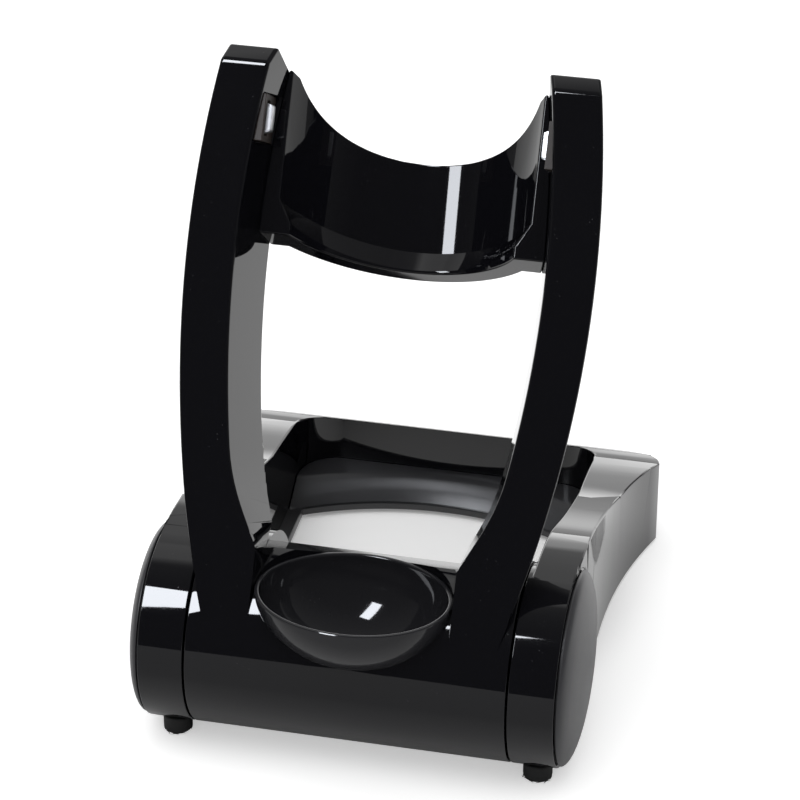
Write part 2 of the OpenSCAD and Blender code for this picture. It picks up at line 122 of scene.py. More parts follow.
class StandColours(bpy.types.PropertyGroup):
    """Colours of the finishes."""

    shell: colour("Shell", "Polished black mouldings", (0.0035, 0.0035, 0.0048))
    cup: colour("Cup", "Smoky black of the cup", (0.013, 0.013, 0.015))
    cap: colour("End cap", "Soft gloss caps on the barrel's ends", (0.03, 0.03, 0.033))
    pan: colour("Pan", "Satin floor of the base", (0.02, 0.02, 0.022))
    rubber: colour("Rubber", "Feet", (0.008, 0.008, 0.008))
    holder: colour("Contact holder", "Insulating block behind a contact", (0.028, 0.02, 0.017))
    contact: colour("Contact", "Nickel on the spring contacts", (0.82, 0.83, 0.85))
    steel: colour("Steel", "Pins, screws and springs", (0.5, 0.5, 0.52))
    bush: colour("Bush", "Bearing plastic", (0.6, 0.58, 0.53))


def sizes():
    return bpy.context.scene.stand_sizes


def colours():
    return bpy.context.scene.stand_colours


# Materials


def new_material(name):
    mat = bpy.data.materials.new(name)
    mat.use_nodes = True
    return mat, mat.node_tree, mat.node_tree.nodes["Principled BSDF"]


def socket(group, name, kind, default=None, out=False):
    made = group.interface.new_socket(
        name=name, in_out="OUTPUT" if out else "INPUT", socket_type="NodeSocket" + kind
    )
    if default is not None:
        made.default_value = default


def add(tree, kind, **values):
    """A node with some of its settings or inputs given by name."""
    node = tree.nodes.new("ShaderNode" + kind)
    for key, value in values.items():
        if key in node.inputs:
            node.inputs[key].default_value = value
        else:
            setattr(node, key, value)
    return node


def ranged(tree, source, start, end, low=0.0, high=1.0, **values):
    """Takes a value that runs from start to end to one that runs from low to high."""
    node = add(tree, "MapRange", **values)
    for name, value in (("From Min", start), ("From Max", end), ("To Min", low), ("To Max", high)):
        node.inputs[name].default_value = value
    tree.links.new(source, node.inputs["Value"])
    return node.outputs["Result"]


def worked(tree, operation, *terms):
    """The result of a calculation on values, each a number or another node's output."""
    node = add(tree, "Math", operation=operation)
    for slot, term in zip(node.inputs, terms):
        if isinstance(term, float):
            slot.default_value = term
        else:
            tree.links.new(term, slot)
    return node.outputs[0]


def blended(tree, share, first, second):
    """The first value where share is 0 and the second where it is 1."""
    node = add(tree, "Mix", data_type="FLOAT")
    tree.links.new(share, node.inputs["Factor"])
    for name, term in (("A", first), ("B", second)):
        if isinstance(term, float):
            node.inputs[name].default_value = term
        else:
            tree.links.new(term, node.inputs[name])
    return node.outputs["Result"]


def set_stops(ramp, levels):
    """Grey stops of a colour ramp, as places along it with their brightness."""
    stops = ramp.color_ramp.elements
    while len(stops) < len(levels):
        stops.new(0.5)
    for stop, (place, level) in zip(stops, levels):
        stop.position = place
        stop.color = (level, level, level, 1.0)


def polish_group():
    """Fine marks of a polished moulding: faint smears, specks of dust and the soft waves of the mould."""
    group = bpy.data.node_groups.new("Polish marks", "ShaderNodeTree")
    socket(group, "Vector", "Vector")
    socket(group, "Colour", "Color", (0.01, 0.01, 0.01, 1.0))
    socket(group, "Dust colour", "Color", (0.08, 0.08, 0.085, 1.0))
    socket(group, "Roughness", "Float", 0.05)
    socket(group, "Dust", "Float", 0.5)
    socket(group, "Colour", "Color", out=True)
    socket(group, "Roughness", "Float", out=True)
    socket(group, "Height", "Float", out=True)
    inside = group.nodes.new("NodeGroupInput")
    result = group.nodes.new("NodeGroupOutput")
    link = group.links.new
    waves = add(group, "TexNoise", Scale=90.0, Detail=2.0, Roughness=0.4)
    smears = add(group, "TexNoise", Scale=55.0, Detail=6.0, Roughness=0.65, Distortion=1.2)
    specks = add(group, "TexVoronoi", Scale=900.0)
    clumps = add(group, "TexNoise", Scale=240.0, Detail=3.0)
    for node in (waves, smears, specks, clumps):
        link(inside.outputs["Vector"], node.inputs["Vector"])
    near = ranged(group, specks.outputs["Distance"], 0.12, 0.06)
    patch = ranged(group, clumps.outputs["Fac"], 0.52, 0.72)
    dust = worked(group, "MULTIPLY", worked(group, "MULTIPLY", near, patch), inside.outputs["Dust"])
    tint = add(group, "Mix", data_type="RGBA")
    link(dust, tint.inputs["Factor"])
    link(inside.outputs["Colour"], tint.inputs[6])
    link(inside.outputs["Dust colour"], tint.inputs[7])
    link(tint.outputs[2], result.inputs["Colour"])
    spread = ranged(group, smears.outputs["Fac"], 0.35, 0.75, 0.8, 1.6)
    smeared = worked(group, "MULTIPLY", spread, inside.outputs["Roughness"])
    link(worked(group, "MULTIPLY_ADD", dust, 0.4, smeared), result.inputs["Roughness"])
    link(waves.outputs["Fac"], result.inputs["Height"])
    return group


def grain_group():
    """The fine even grain of a satin moulding or of rubber."""
    group = bpy.data.node_groups.new("Mould grain", "ShaderNodeTree")
    socket(group, "Vector", "Vector")
    socket(group, "Colour", "Color", (0.02, 0.02, 0.02, 1.0))
    socket(group, "Grain size", "Float", 1500.0)
    socket(group, "Roughness", "Float", 0.4)
    socket(group, "Colour", "Color", out=True)
    socket(group, "Roughness", "Float", out=True)
    socket(group, "Height", "Float", out=True)
    inside = group.nodes.new("NodeGroupInput")
    result = group.nodes.new("NodeGroupOutput")
    link = group.links.new
    grain = add(group, "TexVoronoi", feature="SMOOTH_F1")
    soil = add(group, "TexNoise", Scale=70.0, Detail=5.0, Roughness=0.6)
    link(inside.outputs["Vector"], grain.inputs["Vector"])
    link(inside.outputs["Vector"], soil.inputs["Vector"])
    link(inside.outputs["Grain size"], grain.inputs["Scale"])
    shade = ranged(group, soil.outputs["Fac"], 0.0, 1.0, 0.82, 1.25)
    tint = add(group, "VectorMath", operation="SCALE")
    link(inside.outputs["Colour"], tint.inputs[0])
    link(shade, tint.inputs["Scale"])
    link(tint.outputs[0], result.inputs["Colour"])
    link(worked(group, "MULTIPLY", inside.outputs["Roughness"], shade), result.inputs["Roughness"])
    link(grain.outputs["Distance"], result.inputs["Height"])
    return group


def dressed(name, group, values, bump, depth, **shader):
    """Makes a material that takes its colour, roughness and height from a group, and the rest as given."""
    _, tree, bsdf = new_material(name)
    where = add(tree, "TexCoord")
    marks = tree.nodes.new("ShaderNodeGroup")
    marks.node_tree = group
    tree.links.new(where.outputs["Object"], marks.inputs["Vector"])
    for key, value in values.items():
        marks.inputs[key].default_value = value
    rise = add(tree, "Bump", Strength=bump, Distance=depth)
    tree.links.new(marks.outputs["Height"], rise.inputs["Height"])
    tree.links.new(marks.outputs["Colour"], bsdf.inputs["Base Color"])
    tree.links.new(marks.outputs["Roughness"], bsdf.inputs["Roughness"])
    tree.links.new(rise.outputs["Normal"], bsdf.inputs["Normal"])
    for key, value in shader.items():
        bsdf.inputs[key].default_value = value


def finishes():
    """Every finish of the stand, by name, made once."""
    if "Polished black" in bpy.data.materials:
        return bpy.data.materials
    tone = colours()
    polish = polish_group()
    grain = grain_group()
    # name, marks, colour, roughness, other marks, strength and depth of the bump, index of refraction
    plastics = (
        ("Polished black", polish, tone.shell, 0.034, {"Dust": 0.5}, 0.03, 0.2, 1.52),
        ("Smoked cup", polish, tone.cup, 0.06, {"Dust": 0.4}, 0.03, 0.2, 1.52),
        ("Soft gloss cap", grain, tone.cap, 0.36, {}, 0.05, 0.04, 1.5),
        ("Satin pan", grain, tone.pan, 0.3, {}, 0.06, 0.05, 1.5),
        ("Rubber", grain, tone.rubber, 0.6, {"Grain size": 900.0}, 0.2, 0.08, 1.45),
        ("Holder plastic", grain, tone.holder, 0.42, {}, 0.1, 0.05, 1.5),
        ("Bearing plastic", grain, tone.bush, 0.45, {}, 0.1, 0.05, 1.5),
    )
    for name, marks, colour_of, roughness, more, bump, depth, index in plastics:
        values = {"Colour": (*colour_of, 1.0), "Roughness": roughness, **more}
        dressed(name, marks, values, bump, depth * MM, IOR=index)
    # name, colour, roughness, dust, strength of the bump
    metals = (("Nickel", tone.contact, 0.3, 0.1, 0.02), ("Zinc steel", tone.steel, 0.28, 0.2, 0.05))
    for name, colour_of, roughness, dust, bump in metals:
        values = {"Colour": (*colour_of, 1.0), "Roughness": roughness, "Dust": dust}
        dressed(name, polish, values, bump, 0.1 * MM, Metallic=1.0)
    return bpy.data.materials


# Shaping


def deselect():
    if bpy.context.object and bpy.context.object.mode != "OBJECT":
        bpy.ops.object.mode_set(mode="OBJECT")
    bpy.ops.object.select_all(action="DESELECT")


def only(obj):
    deselect()
    obj.select_set(True)
    bpy.context.view_layer.objects.active = obj


def dress(obj, finish):
    obj.data.materials.clear()
    obj.data.materials.append(finishes()[finish])


def settle(obj, name, body, slot, finish):
    """Names a finished piece, lets it ride on its body and gives it its finish."""
    obj.name = name
    obj.data.name = name
    dress(obj, finish)
    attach(obj, body)


def cut_up_winding_flats(skin):
    """Cuts up the narrow flats that wind round a part, whose rounded edges would cross them."""
    many_corners, narrow = 24, 2 * MM
    winding = [
        face for face in skin.faces
        if len(face.verts) > many_corners and face.calc_area() < narrow * face.calc_perimeter()
    ]
    bmesh.ops.triangulate(skin, faces=winding)


def lay_back(obj, before, rounding):
    """Lays the points of rounded corners that stray from the part back on it."""
    outside, inside = 0.005 * MM, 0.8 * rounding
    for vertex in obj.data.vertices:
        spot, normal, _, gap = before.find_nearest(vertex.co)
        if (vertex.co - spot).dot(normal) > outside or gap > inside:
            vertex.co = spot


def moulded(node, rounding, choose, segments=3, shape=None, merge_flats=True):
    """A copy of a frame part as one closed skin, with real rounding along the edges that choose() weighs."""
    same_point, same_flat, smooth = 2e-6, math.radians(0.05), math.radians(30)
    source = FRAME["nodes"][node]
    deselect()
    obj = source.copy()
    obj.data = source.data.copy()
    obj.parent = None
    obj.matrix_world = source.matrix_world
    bpy.context.scene.collection.objects.link(obj)
    only(obj)
    bpy.ops.object.mode_set(mode="EDIT")
    bpy.ops.mesh.select_all(action="SELECT")
    bpy.ops.mesh.remove_doubles(threshold=same_point)
    if merge_flats:
        bpy.ops.mesh.dissolve_limited(angle_limit=same_flat, delimit={"NORMAL"})
    bpy.ops.object.mode_set(mode="OBJECT")
    bpy.ops.mesh.customdata_custom_splitnormals_clear()
    skin = bmesh.new()
    skin.from_mesh(obj.data)
    cut_up_winding_flats(skin)
    if shape:
        shape(skin)
        skin.normal_update()
    before = BVHTree.FromBMesh(skin)
    weight = skin.edges.layers.float.new("bevel_weight_edge")
    for edge in skin.edges:
        if edge.is_manifold and edge.is_convex:
            edge[weight] = choose(edge, math.degrees(edge.calc_face_angle()))
    skin.to_mesh(obj.data)
    skin.free()
    round_over = obj.modifiers.new("rounding", "BEVEL")
    round_over.limit_method = "WEIGHT"
    round_over.width = rounding
    round_over.segments = segments
    round_over.use_clamp_overlap = False
    round_over.miter_outer = "MITER_ARC"
    bpy.ops.object.modifier_apply(modifier=round_over.name)
    lay_back(obj, before, rounding)
    bpy.ops.object.shade_smooth_by_angle(angle=smooth)
    even = obj.modifiers.new("even shading", "WEIGHTED_NORMAL")
    even.keep_sharp = True
    bpy.ops.object.modifier_apply(modifier=even.name)
    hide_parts(node)
    return obj


def middle(edge):
    return (edge.verts[0].co + edge.verts[1].co) / 2


def too_slight(edge, angle, least=32.0, shortest=0.5 * MM):
    """Whether an edge turns by less than an angle or is a sliver, and so isn't rounded."""
    return angle < least or edge.calc_length() < shortest


def edges_over(least=35.0, shortest=0.4 * MM):
    """Weighs every outer edge that turns by more than an angle and isn't a sliver."""
    return lambda edge, angle: 1.0 if angle > least and edge.calc_length() > shortest else 0.0


# rims and steps of small round parts
TURNED_EDGES = edges_over(60.0, 0.05 * MM)


def upright_box(node):
    """Lowest and highest corners of a part of the arms, with the arms upright."""
    spots = [UPRIGHT @ vertex.co for vertex in FRAME["nodes"][node].data.vertices]
    return [Vector([pick(spot[i] for spot in spots) for i in range(3)]) for pick in (min, max)]


def mirrored(obj, name):
    """A copy on the other side, with its own mesh."""
    twin = obj.copy()
    twin.data = obj.data.copy()
    bpy.context.scene.collection.objects.link(twin)
    twin.data.transform(Matrix.Scale(-1.0, 4, (1.0, 0.0, 0.0)))
    twin.data.flip_normals()
    twin.name = name
    return twin


def apply_modifiers(obj):
    only(obj)
    for modifier in list(obj.modifiers):
        bpy.ops.object.modifier_apply(modifier=modifier.name)


# Stage


def table_finish():
    """White matt table, lifted towards white for the camera and shaded along its length in reflections."""
    white, camera_lift, painted_shade_lift, glow = 0.86, 0.44, 0.2, 0.4
    # distances from the middle of the base's opening
    shade_edge, open_air = 0.035, 0.055
    mat, tree, bsdf = new_material("White table")
    bsdf.inputs["Roughness"].default_value = 0.9
    bsdf.inputs["Specular IOR Level"].default_value = 0.0
    bsdf.inputs["Emission Color"].default_value = (1.0, 1.0, 1.0, 1.0)
    link = tree.links.new
    place = add(tree, "TexCoord").outputs["Object"]
    parts = add(tree, "SeparateXYZ")
    link(place, parts.inputs[0])
    depth = parts.outputs["Y"]
    path = add(tree, "LightPath")
    # in reflections the table is darker ahead of the stand and far behind it
    falloff = add(tree, "ValToRGB")
    set_stops(falloff, ((0.0, 0.42), (0.04, 0.42), (0.18, white), (0.7, white), (1.0, 0.45)))
    link(ranged(tree, depth, -0.1, 0.3), falloff.inputs["Fac"])
    shade = blended(tree, path.outputs["Is Glossy Ray"], white, falloff.outputs["Color"])
    link(shade, bsdf.inputs["Base Color"])
    # and it glows faintly behind the stand
    behind = ranged(tree, depth, 0.0, 0.06, 0.0, glow)
    mirrored_glow = worked(tree, "MULTIPLY", path.outputs["Is Glossy Ray"], behind)
    # inside the stand's base the camera sees the table less lifted, a painted shade that deepens its real
    # shadow there
    from_middle = add(tree, "VectorMath", operation="DISTANCE")
    from_middle.inputs[1].default_value = (0.0, 0.02, 0.0)
    link(place, from_middle.inputs[0])
    away = from_middle.outputs["Value"]
    lift = ranged(
        tree, away, shade_edge, open_air, painted_shade_lift, camera_lift, interpolation_type="SMOOTHSTEP"
    )
    emitted = worked(tree, "MULTIPLY_ADD", path.outputs["Is Camera Ray"], lift, mirrored_glow)
    link(emitted, bsdf.inputs["Emission Strength"])
    return mat


# brightness of the wall behind the stand in reflections, by the sine of the height above the horizon
WALL_LEVELS = (
    (0.0, 3.0), (0.09, 2.8), (0.2, 1.7), (0.3, 1.7), (0.36, 0.7), (0.74, 0.7), (0.78, 0.9), (0.93, 0.9),
    (0.96, 0.25), (1.0, 0.15),
)


def studio_world(context):
    """White for the camera, even for diffuse light, and in reflections a wall behind with dark ahead."""
    white, even_level, wall_scale = 1.0, 0.7, 4.0
    # the way to the middle of the wall, and the cosines off it between which the wall fades out
    wall_way, wall_out, wall_full = (-0.34, 0.94, 0.0), 0.6, 0.85
    world = bpy.data.worlds.new("Studio")
    context.scene.world = world
    world.use_nodes = True
    tree = world.node_tree
    link = tree.links.new
    sky = tree.nodes["Background"]
    sky.inputs["Strength"].default_value = 1.0
    parts = add(tree, "SeparateXYZ")
    link(add(tree, "TexCoord").outputs["Generated"], parts.inputs[0])
    # a ramp's colours end at 1, so the levels are scaled down and up again
    rise = add(tree, "ValToRGB")
    set_stops(rise, [(place, level / wall_scale) for place, level in WALL_LEVELS])
    link(parts.outputs["Z"], rise.inputs["Fac"])
    wall = worked(tree, "MULTIPLY", rise.outputs["Color"], wall_scale)
    flat = add(tree, "CombineXYZ")
    link(parts.outputs["X"], flat.inputs[0])
    link(parts.outputs["Y"], flat.inputs[1])
    level_way = add(tree, "VectorMath", operation="NORMALIZE")
    link(flat.outputs[0], level_way.inputs[0])
    facing = add(tree, "VectorMath", operation="DOT_PRODUCT")
    facing.inputs[1].default_value = wall_way
    link(level_way.outputs[0], facing.inputs[0])
    turned = facing.outputs["Value"]
    behind = ranged(tree, turned, wall_out, wall_full, interpolation_type="SMOOTHSTEP")
    dark = ranged(tree, parts.outputs["Y"], -0.6, 0.3, 0.05, 0.2)
    path = add(tree, "LightPath")
    reflected = blended(tree, behind, dark, wall)
    lit = blended(tree, path.outputs["Is Diffuse Ray"], reflected, even_level)
    link(blended(tree, path.outputs["Is Camera Ray"], lit, white), sky.inputs["Color"])


def lamp(name, aim, azimuth, elevation, distance, width, height, level):
    """A soft lamp that looks as bright as level; its place is given as seen from aim."""
    light = bpy.data.lights.new(name, "AREA")
    light.shape = "RECTANGLE"
    light.size, light.size_y = width, height
    light.energy = level * width * height * math.pi
    obj = bpy.data.objects.new(name, light)
    bpy.context.scene.collection.objects.link(obj)
    turn, rise = math.radians(azimuth), math.radians(elevation)
    out = Vector((math.sin(turn) * math.cos(rise), math.cos(turn) * math.cos(rise), math.sin(rise)))
    spot = Vector(aim) + out * distance
    obj.matrix_world = Matrix.Translation(spot) @ (-out).to_track_quat("-Z", "Y").to_matrix().to_4x4()
    obj.visible_camera = False
    return obj


class STAND_OT_studio(bpy.types.Operator):
    """White table, soft lamps and the camera"""

    bl_idname = "stand.studio"
    bl_label = "Studio"

    def execute(self, context):
        deselect()
        bpy.ops.mesh.primitive_plane_add(size=12.0, location=(0.0, 4.9, 0.0))
        table = bpy.context.object
        bpy.ops.object.transform_apply(location=True)
        table.name = "table"
        table.data.materials.append(table_finish())
        table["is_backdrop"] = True
        studio_world(context)
        self.lamps()
        self.camera(context)
        context.scene.view_settings.view_transform = "Standard"
        return {"FINISHED"}

    def lamps(self):
        """Cards ahead and above that only reflections show, and one lamp overhead for the diffuse light."""
        left_end = (-0.039, -0.048, 0.037)
        band = (0.006, 0.018, 0.095)
        ledge = (0.02, 0.045, 0.005)
        noses = ("left_contact_leaf", "right_contact_leaf")
        # name, aim, azimuth, elevation, distance, width, height, level, and the pieces that alone reflect it
        for *settings, shown_by in (
            ("softbox", left_end, -153.5, 50, 8.0, 1.35, 3.9, 22.0, ()),
            ("strip", band, -136.5, 27, 3.0, 0.5, 1.3, 16.5, ("cradle_band_polished",)),
            ("top_card", ledge, -133, 76, 5.0, 0.9, 1.5, 9.0, ("base_pan_satin",)),
            ("contact_card", band, -168, 26, 3.0, 1.6, 1.6, 1.4, noses),
        ):
            card = lamp(*settings)
            card.visible_diffuse = False
            card.data.color = (0.91, 0.94, 1.0)
            if shown_by:
                only_on = bpy.data.collections.new(card.name + " falls on")
                for name in shown_by:
                    only_on.objects.link(bpy.data.objects[name])
                card.light_linking.receiver_collection = only_on
        fill = lamp("overhead", (0.0, 0.0, 0.0), -150, 72, 2.4, 1.8, 1.8, 2.2)
        fill.visible_glossy = False

    def camera(self, context):
        """A long lens ahead on the right and above."""
        eye = Vector((0.1278, -0.58275, 0.4278))
        target = Vector((0.00747, -0.03385, 0.08223))
        lens = bpy.data.cameras.new("camera")
        lens.sensor_width = 36.0
        lens.lens = 148.5
        lens.clip_start, lens.clip_end = 0.01, 50.0
        camera = bpy.data.objects.new("camera", lens)
        context.scene.collection.objects.link(camera)
        aim = (target - eye).to_track_quat("-Z", "Y").to_matrix().to_4x4()
        camera.matrix_world = Matrix.Translation(eye) @ aim
        context.scene.camera = camera


# Base


class STAND_OT_base_shell(bpy.types.Operator):
    """Ends of the barrel with the rails and the rear rim, one polished moulding"""

    bl_idname = "stand.base_shell"
    bl_label = "Base shell"

    def execute(self, context):
        wall = 2.2 * MM
        foot_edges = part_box("base_shell")[0][2] + 2 * wall
        barrel_end, inner_end = AXIS.y + 2 * MM, 34.2 * MM

        def choose(edge, angle):
            if too_slight(edge, angle):
                return 0.0
            spot = middle(edge)
            off_axis = math.hypot(spot.y - AXIS.y, spot.z - AXIS.z)
            if spot.y < barrel_end or abs(spot.x) < inner_end:
                # rims of the barrel's two end lengths
                return 0.5 if off_axis > BARREL_SKIN else 0.0
            # rails and rear rim, which are sharper along their feet
            return 1.0 if spot.z > foot_edges else 0.4

        obj = moulded("base_shell", sizes().edge, choose)
        settle(obj, "base_shell_polished", "base", "gloss_black", "Polished black")
        return {"FINISHED"}


class STAND_OT_end_caps(bpy.types.Operator):
    """Domed caps on the barrel's ends"""

    bl_idname = "stand.end_caps"
    bl_label = "End caps"

    def execute(self, context):
        for side in ("left", "right"):
            obj = moulded(side + "_end_cap", sizes().fine_edge, edges_over(40.0))
            settle(obj, side + "_end_cap_domed", "base", "satin_charcoal", "Soft gloss cap")
        return {"FINISHED"}


class STAND_OT_pan(bpy.types.Operator):
    """Satin floor of the base, with its dished ledge"""

    bl_idname = "stand.pan"
    bl_label = "Pan and ledge"

    def execute(self, context):
        # the ledge's slope lies between two arcs about a centre behind the axis
        centre = AXIS.y + 15 * MM
        low_r, high_r = 67 * MM, 74 * MM
        low_z, high_z = 3.2 * MM, 7.5 * MM
        near, half_width, slices = 0.3 * MM, 35 * MM, 7
        # rounding along the ledge's inner lip
        lip = 0.8 * MM
        swell = sizes().ledge_swell

        def off_centre(vertex):
            return math.hypot(vertex.co.x, vertex.co.y - centre)

        def on_slope(face):
            return 0.7 < face.normal.z < 0.97 and all(
                low_r - near < off_centre(vertex) < high_r + near for vertex in face.verts
            )

        def swell_ledge(skin):
            """The ledge's slope swells upwards between its two edges, and less towards the rails."""
            for step in range(1, slices):
                level = low_z + (high_z - low_z) * step / slices
                slope = [face for face in skin.faces if on_slope(face)]
                if not slope:
                    raise RuntimeError("the ledge's slope wasn't found")
                parts = {item for face in slope for item in (face, *face.edges, *face.verts)}
                bmesh.ops.bisect_plane(
                    skin, geom=list(parts), plane_co=(0.0, 0.0, level), plane_no=(0.0, 0.0, 1.0)
                )
            for vertex in {v for face in skin.faces if on_slope(face) for v in face.verts}:
                up_slope = (vertex.co.z - low_z) / (high_z - low_z)
                fade = 1 - (abs(vertex.co.x) / half_width) ** 4
                vertex.co.z += swell * 4 * up_slope * (1 - up_slope) * max(0.0, fade)

        def choose(edge, angle):
            if too_slight(edge, angle, 35.0):
                return 0.0
            at_lip = all(
                abs(off_centre(vertex) - low_r) < near and abs(vertex.co.z - low_z) < 0.1 * MM
                for vertex in edge.verts
            )
            return 1.0 if at_lip else sizes().fine_edge / lip

        obj = moulded("base_pan", lip, choose, 4, shape=swell_ledge, merge_flats=False)
        settle(obj, "base_pan_satin", "base", "satin_black", "Satin pan")
        return {"FINISHED"}


class STAND_OT_feet(bpy.types.Operator):
    """Rubber feet, rounded where they stand on the table"""

    bl_idname = "stand.feet"
    bl_label = "Feet"

    def execute(self, context):
        for row in ("front", "rear"):
            obj = moulded(row + "_feet", 0.6 * MM, TURNED_EDGES, segments=4)
            settle(obj, row + "_feet_rubber", "base", "rubber", "Rubber")
        return {"FINISHED"}


class STAND_OT_inlet(bpy.types.Operator):
    """Charging inlet in the left rail, with round-nosed pins"""

    bl_idname = "stand.inlet"
    bl_label = "Charging inlet"

    def execute(self, context):
        obj = moulded("inlet_socket", sizes().fine_edge, TURNED_EDGES)
        settle(obj, "inlet_socket_satin", "base", "satin_black", "Satin pan")
        obj = moulded("inlet_pins", 0.55 * MM, edges_over(60.0, 0.02 * MM), segments=4)
        settle(obj, "inlet_pins_round", "base", "contact_metal", "Nickel")
        return {"FINISHED"}


class STAND_OT_hinge(bpy.types.Operator):
    """Pins, bushes, washers and pan screws, with chamfered edges"""

    bl_idname = "stand.hinge"
    bl_label = "Hinge and fixings"

    def execute(self, context):
        for node, body, slot, finish, chamfer in (
            ("left_hinge_pin", "base", "steel", "Zinc steel", 0.4),
            ("right_hinge_pin", "base", "steel", "Zinc steel", 0.4),
            ("base_screws", "base", "steel", "Zinc steel", 0.2),
            ("hinge_bushes", "yoke", "bush_plastic", "Bearing plastic", 0.3),
            ("friction_washers", "yoke", "steel", "Zinc steel", 0.15),
        ):
            obj = moulded(node, chamfer * MM, TURNED_EDGES, segments=1)
            settle(obj, node + "_finished", body, slot, finish)
        return {"FINISHED"}


# Arms and what they carry

# with the arms upright: their back, their foot, their depth, how much they draw in towards the back,
# and the heights of the cover screws above the hinge axis
ARM_BACK = -3.3 * MM
ARM_FOOT = 24 * MM
ARM_DEPTH = 17.5 * MM
DRAW = math.tan(math.radians(11))
COVER_SCREWS = (52 * MM, 97 * MM)


def arm_middle(rise):
    """How far the middle of an arm's back is to the side, at a height above the hinge axis."""
    half, radius, widest = 37.5 * MM, 250 * MM, 79 * MM
    return half - radius + math.sqrt(radius**2 - (rise - widest) ** 2) - DRAW * ARM_DEPTH


class STAND_OT_arms(bpy.types.Operator):
    """Turning length of the barrel with both arms, one polished moulding"""

    bl_idname = "stand.arms"
    bl_label = "Barrel and arms"

    def execute(self, context):
        pocket_low, pocket_high = upright_box("right_contact_holder")
        slack, end_rim, cover_half, fade = 0.6 * MM, 33.4 * MM, 4.3 * MM, 14 * MM

        def choose(edge, angle):
            if too_slight(edge, angle):
                return 0.0
            spot = UPRIGHT @ middle(edge)
            spot.x = abs(spot.x)
            if spot.x > end_rim and spot.z < ARM_FOOT and math.hypot(spot.y, spot.z) > BARREL_SKIN:
                # rims of the turning length, beside the running gaps
                return 0.35
            if spot.z < ARM_FOOT - 3 * MM:
                return 0.0
            if all(pocket_low[i] - slack < spot[i] < pocket_high[i] + slack for i in range(3)):
                return 0.25
            if spot.y > ARM_BACK - 3 * MM and abs(spot.x - arm_middle(spot.z)) < cover_half:
                return 0.25
            # the rounding grows from the foot of the arms upwards
            return min(1.0, max(0.1, (spot.z - ARM_FOOT) / fade))

        def make_room(skin):
            """Joins points that lie so close under an arm's top corners that its rounding has no room."""
            crowded, top = 0.6 * MM, 112 * MM
            pairs = {}
            for edge in skin.edges:
                lower, upper = sorted(edge.verts, key=lambda vertex: (UPRIGHT @ vertex.co).z)
                if edge.calc_length() < crowded and (UPRIGHT @ lower.co).z > top:
                    pairs[lower] = upper
            bmesh.ops.weld_verts(skin, targetmap=pairs)

        obj = moulded("yoke_shell", sizes().arm_edge, choose, segments=4, shape=make_room)
        settle(obj, "barrel_and_arms", "yoke", "gloss_black", "Polished black")
        return {"FINISHED"}


class STAND_OT_covers(bpy.types.Operator):
    """Covers let into the backs of the arms, and their cross-recessed screws"""

    bl_idname = "stand.covers"
    bl_label = "Arm covers and screws"

    def execute(self, context):
        for side in ("left", "right"):
            obj = moulded(side + "_arm_cover", 0.3 * MM, edges_over(40.0, 0.3 * MM))
            settle(obj, side + "_arm_cover_satin", "yoke", "satin_black", "Satin pan")
        screws = moulded("cover_screws", 0.25 * MM, TURNED_EDGES)
        # a cross of two bars is cut into each head
        long, deep, thin = 2.6 * MM, 1.4 * MM, 0.5 * MM
        deselect()
        cutters = []
        for side in (-1, 1):
            for rise in COVER_SCREWS:
                spot = (side * arm_middle(rise), ARM_BACK, rise)
                for size in ((long, deep, thin), (thin, deep, long)):
                    bpy.ops.mesh.primitive_cube_add(size=1.0, location=spot, scale=size)
                    cutters.append(bpy.context.object)
        for cutter in cutters:
            cutter.select_set(True)
        bpy.ops.object.transform_apply(location=True, rotation=True, scale=True)
        for cutter in cutters:
            cutter.data.transform(LEANED)
            recess = screws.modifiers.new("recess", "BOOLEAN")
            recess.operation = "DIFFERENCE"
            recess.solver = "EXACT"
            recess.object = cutter
        apply_modifiers(screws)
        for cutter in cutters:
            bpy.data.objects.remove(cutter)
        settle(screws, "cover_screws_crossed", "yoke", "steel", "Zinc steel")
        return {"FINISHED"}


class STAND_OT_band(bpy.types.Operator):
    """Cradle band between the arms, with its inner lip"""

    bl_idname = "stand.band"
    bl_label = "Cradle band"

    def execute(self, context):
        obj = moulded("cradle_band", sizes().band_edge, edges_over(35.0, 0.5 * MM))
        settle(obj, "cradle_band_polished", "yoke", "gloss_black", "Polished black")
        return {"FINISHED"}


class STAND_OT_cup(bpy.types.Operator):
    """Oval bowl on the front of the barrel, with a rounded rim"""

    bl_idname = "stand.cup"
    bl_label = "Cup"

    def execute(self, context):
        obj = moulded("cup", 0.4 * MM, edges_over(35.0, 0.2 * MM))
        settle(obj, "cup_polished", "yoke", "gloss_black", "Smoked cup")
        return {"FINISHED"}


